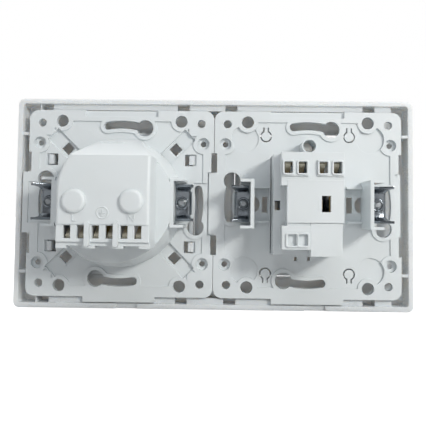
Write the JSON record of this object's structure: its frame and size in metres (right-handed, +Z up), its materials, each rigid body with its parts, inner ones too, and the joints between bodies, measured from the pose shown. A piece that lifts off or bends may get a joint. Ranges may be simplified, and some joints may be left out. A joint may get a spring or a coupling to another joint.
{
  "type": "switch and socket combination",
  "caption": "White flush-mounted combination of an earthed socket outlet and a one-way rocker switch under one double cover frame, with spreader claws and push-in terminals.",
  "frame": {"origin": "centre of the outer corner screw holes, on the wall plane midway between the two modules", "axes": "+X to the right seen from the room, +Y into the wall, +Z up"},
  "size_m": [0.151, 0.042, 0.0794],
  "materials": {
    "white_plastic": "gloss",
    "grey_plastic": "matte",
    "zinc_claw": "bright zinc",
    "steel_screw": "bright zinc",
    "brass_contact": "bare",
    "clamp_spring": "bare",
    "coil_spring": "bare",
    "contact_rivet": "silver"
  },
  "bodies": {
    "wall_unit": {"cover_frame": "white_plastic", "socket_base": "white_plastic", "socket_insert": "white_plastic", "insert_screw": "steel_screw", "line_contact": "brass_contact", "neutral_contact": "brass_contact", "earth_strap": "brass_contact", "line_clamp": "clamp_spring", "neutral_clamp": "clamp_spring", "earth_clamp": "clamp_spring", "shutter_spring": "coil_spring", "switch_yoke": "white_plastic", "switch_housing": "white_plastic", "common_contact": "brass_contact", "switched_contact": "brass_contact", "fixed_rivet": "contact_rivet", "common_clamp": "clamp_spring", "switched_clamp": "clamp_spring"},
    "rocker_body": {"rocker": "white_plastic", "rocker_cradle": "grey_plastic", "plunger_spring": "coil_spring"},
    "plunger_body": {"plunger": "grey_plastic"},
    "seesaw_body": {"seesaw": "brass_contact", "moving_rivet": "contact_rivet"},
    "shutter_body": {"shutter": "grey_plastic"},
    "socket_screw_left_body": {"socket_claw_screw_left": "steel_screw"},
    "socket_claw_left_body": {"socket_claw_left": "zinc_claw"},
    "socket_screw_right_body": {"socket_claw_screw_right": "steel_screw"},
    "socket_claw_right_body": {"socket_claw_right": "zinc_claw"},
    "switch_screw_left_body": {"switch_claw_screw_left": "steel_screw"},
    "switch_claw_left_body": {"switch_claw_left": "zinc_claw"},
    "switch_screw_right_body": {"switch_claw_screw_right": "steel_screw"},
    "switch_claw_right_body": {"switch_claw_right": "zinc_claw"}
  },
  "joints": [
    {"name": "rocker_tilt", "type": "hinge", "parent": "wall_unit", "child": "rocker_body", "pos_m": [-0.0355, -0.004, 0], "axis": [-1, 0, 0], "range_deg": [0, 9]},
    {"name": "plunger_slide", "type": "slide", "parent": "rocker_body", "child": "plunger_body", "axis": [0, -0.9969, -0.0785], "range_m": [0, 0.001], "stiffness_N_per_m": 400, "springref_m": -0.003, "deforming": ["plunger_spring"]},
    {"name": "seesaw_tilt", "type": "hinge", "parent": "wall_unit", "child": "seesaw_body", "pos_m": [-0.0359, 0.0132, 0], "axis": [1, 0, 0], "range_deg": [0, 19.2]},
    {"name": "shutter_slide", "type": "slide", "parent": "wall_unit", "child": "shutter_body", "axis": [0, 0, 1], "range_m": [0, 0.0062], "stiffness_N_per_m": 60, "springref_m": -0.004, "deforming": ["shutter_spring"]},
    {"name": "socket_screw_left_turn", "type": "hinge", "parent": "wall_unit", "child": "socket_screw_left_body", "pos_m": [0.01123, 0, 0], "axis": [0, 1, 0], "range_deg": [0, 2304.1]},
    {"name": "socket_claw_left_draw", "type": "slide", "parent": "wall_unit", "child": "socket_claw_left_body", "axis": [0, -1, 0], "range_m": [0, 0.0032]},
    {"name": "socket_screw_right_turn", "type": "hinge", "parent": "wall_unit", "child": "socket_screw_right_body", "pos_m": [0.05977, 0, 0], "axis": [0, 1, 0], "range_deg": [0, 2304.1]},
    {"name": "socket_claw_right_draw", "type": "slide", "parent": "wall_unit", "child": "socket_claw_right_body", "axis": [0, -1, 0], "range_m": [0, 0.0032]},
    {"name": "switch_screw_left_turn", "type": "hinge", "parent": "wall_unit", "child": "switch_screw_left_body", "pos_m": [-0.05977, 0, 0], "axis": [0, 1, 0], "range_deg": [0, 2304.1]},
    {"name": "switch_claw_left_draw", "type": "slide", "parent": "wall_unit", "child": "switch_claw_left_body", "axis": [0, -1, 0], "range_m": [0, 0.0032]},
    {"name": "switch_screw_right_turn", "type": "hinge", "parent": "wall_unit", "child": "switch_screw_right_body", "pos_m": [-0.01123, 0, 0], "axis": [0, 1, 0], "range_deg": [0, 2304.1]},
    {"name": "switch_claw_right_draw", "type": "slide", "parent": "wall_unit", "child": "switch_claw_right_body", "axis": [0, -1, 0], "range_m": [0, 0.0032]}
  ],
  "couplings": [
    {"joint": "seesaw_tilt", "follows": "rocker_tilt", "ratio": 2.1333},
    {"joint": "socket_screw_left_turn", "follows": "socket_claw_left_draw", "rad_per_m": 12566},
    {"joint": "socket_screw_right_turn", "follows": "socket_claw_right_draw", "rad_per_m": 12566},
    {"joint": "switch_screw_left_turn", "follows": "switch_claw_left_draw", "rad_per_m": 12566},
    {"joint": "switch_screw_right_turn", "follows": "switch_claw_right_draw", "rad_per_m": 12566}
  ]
}
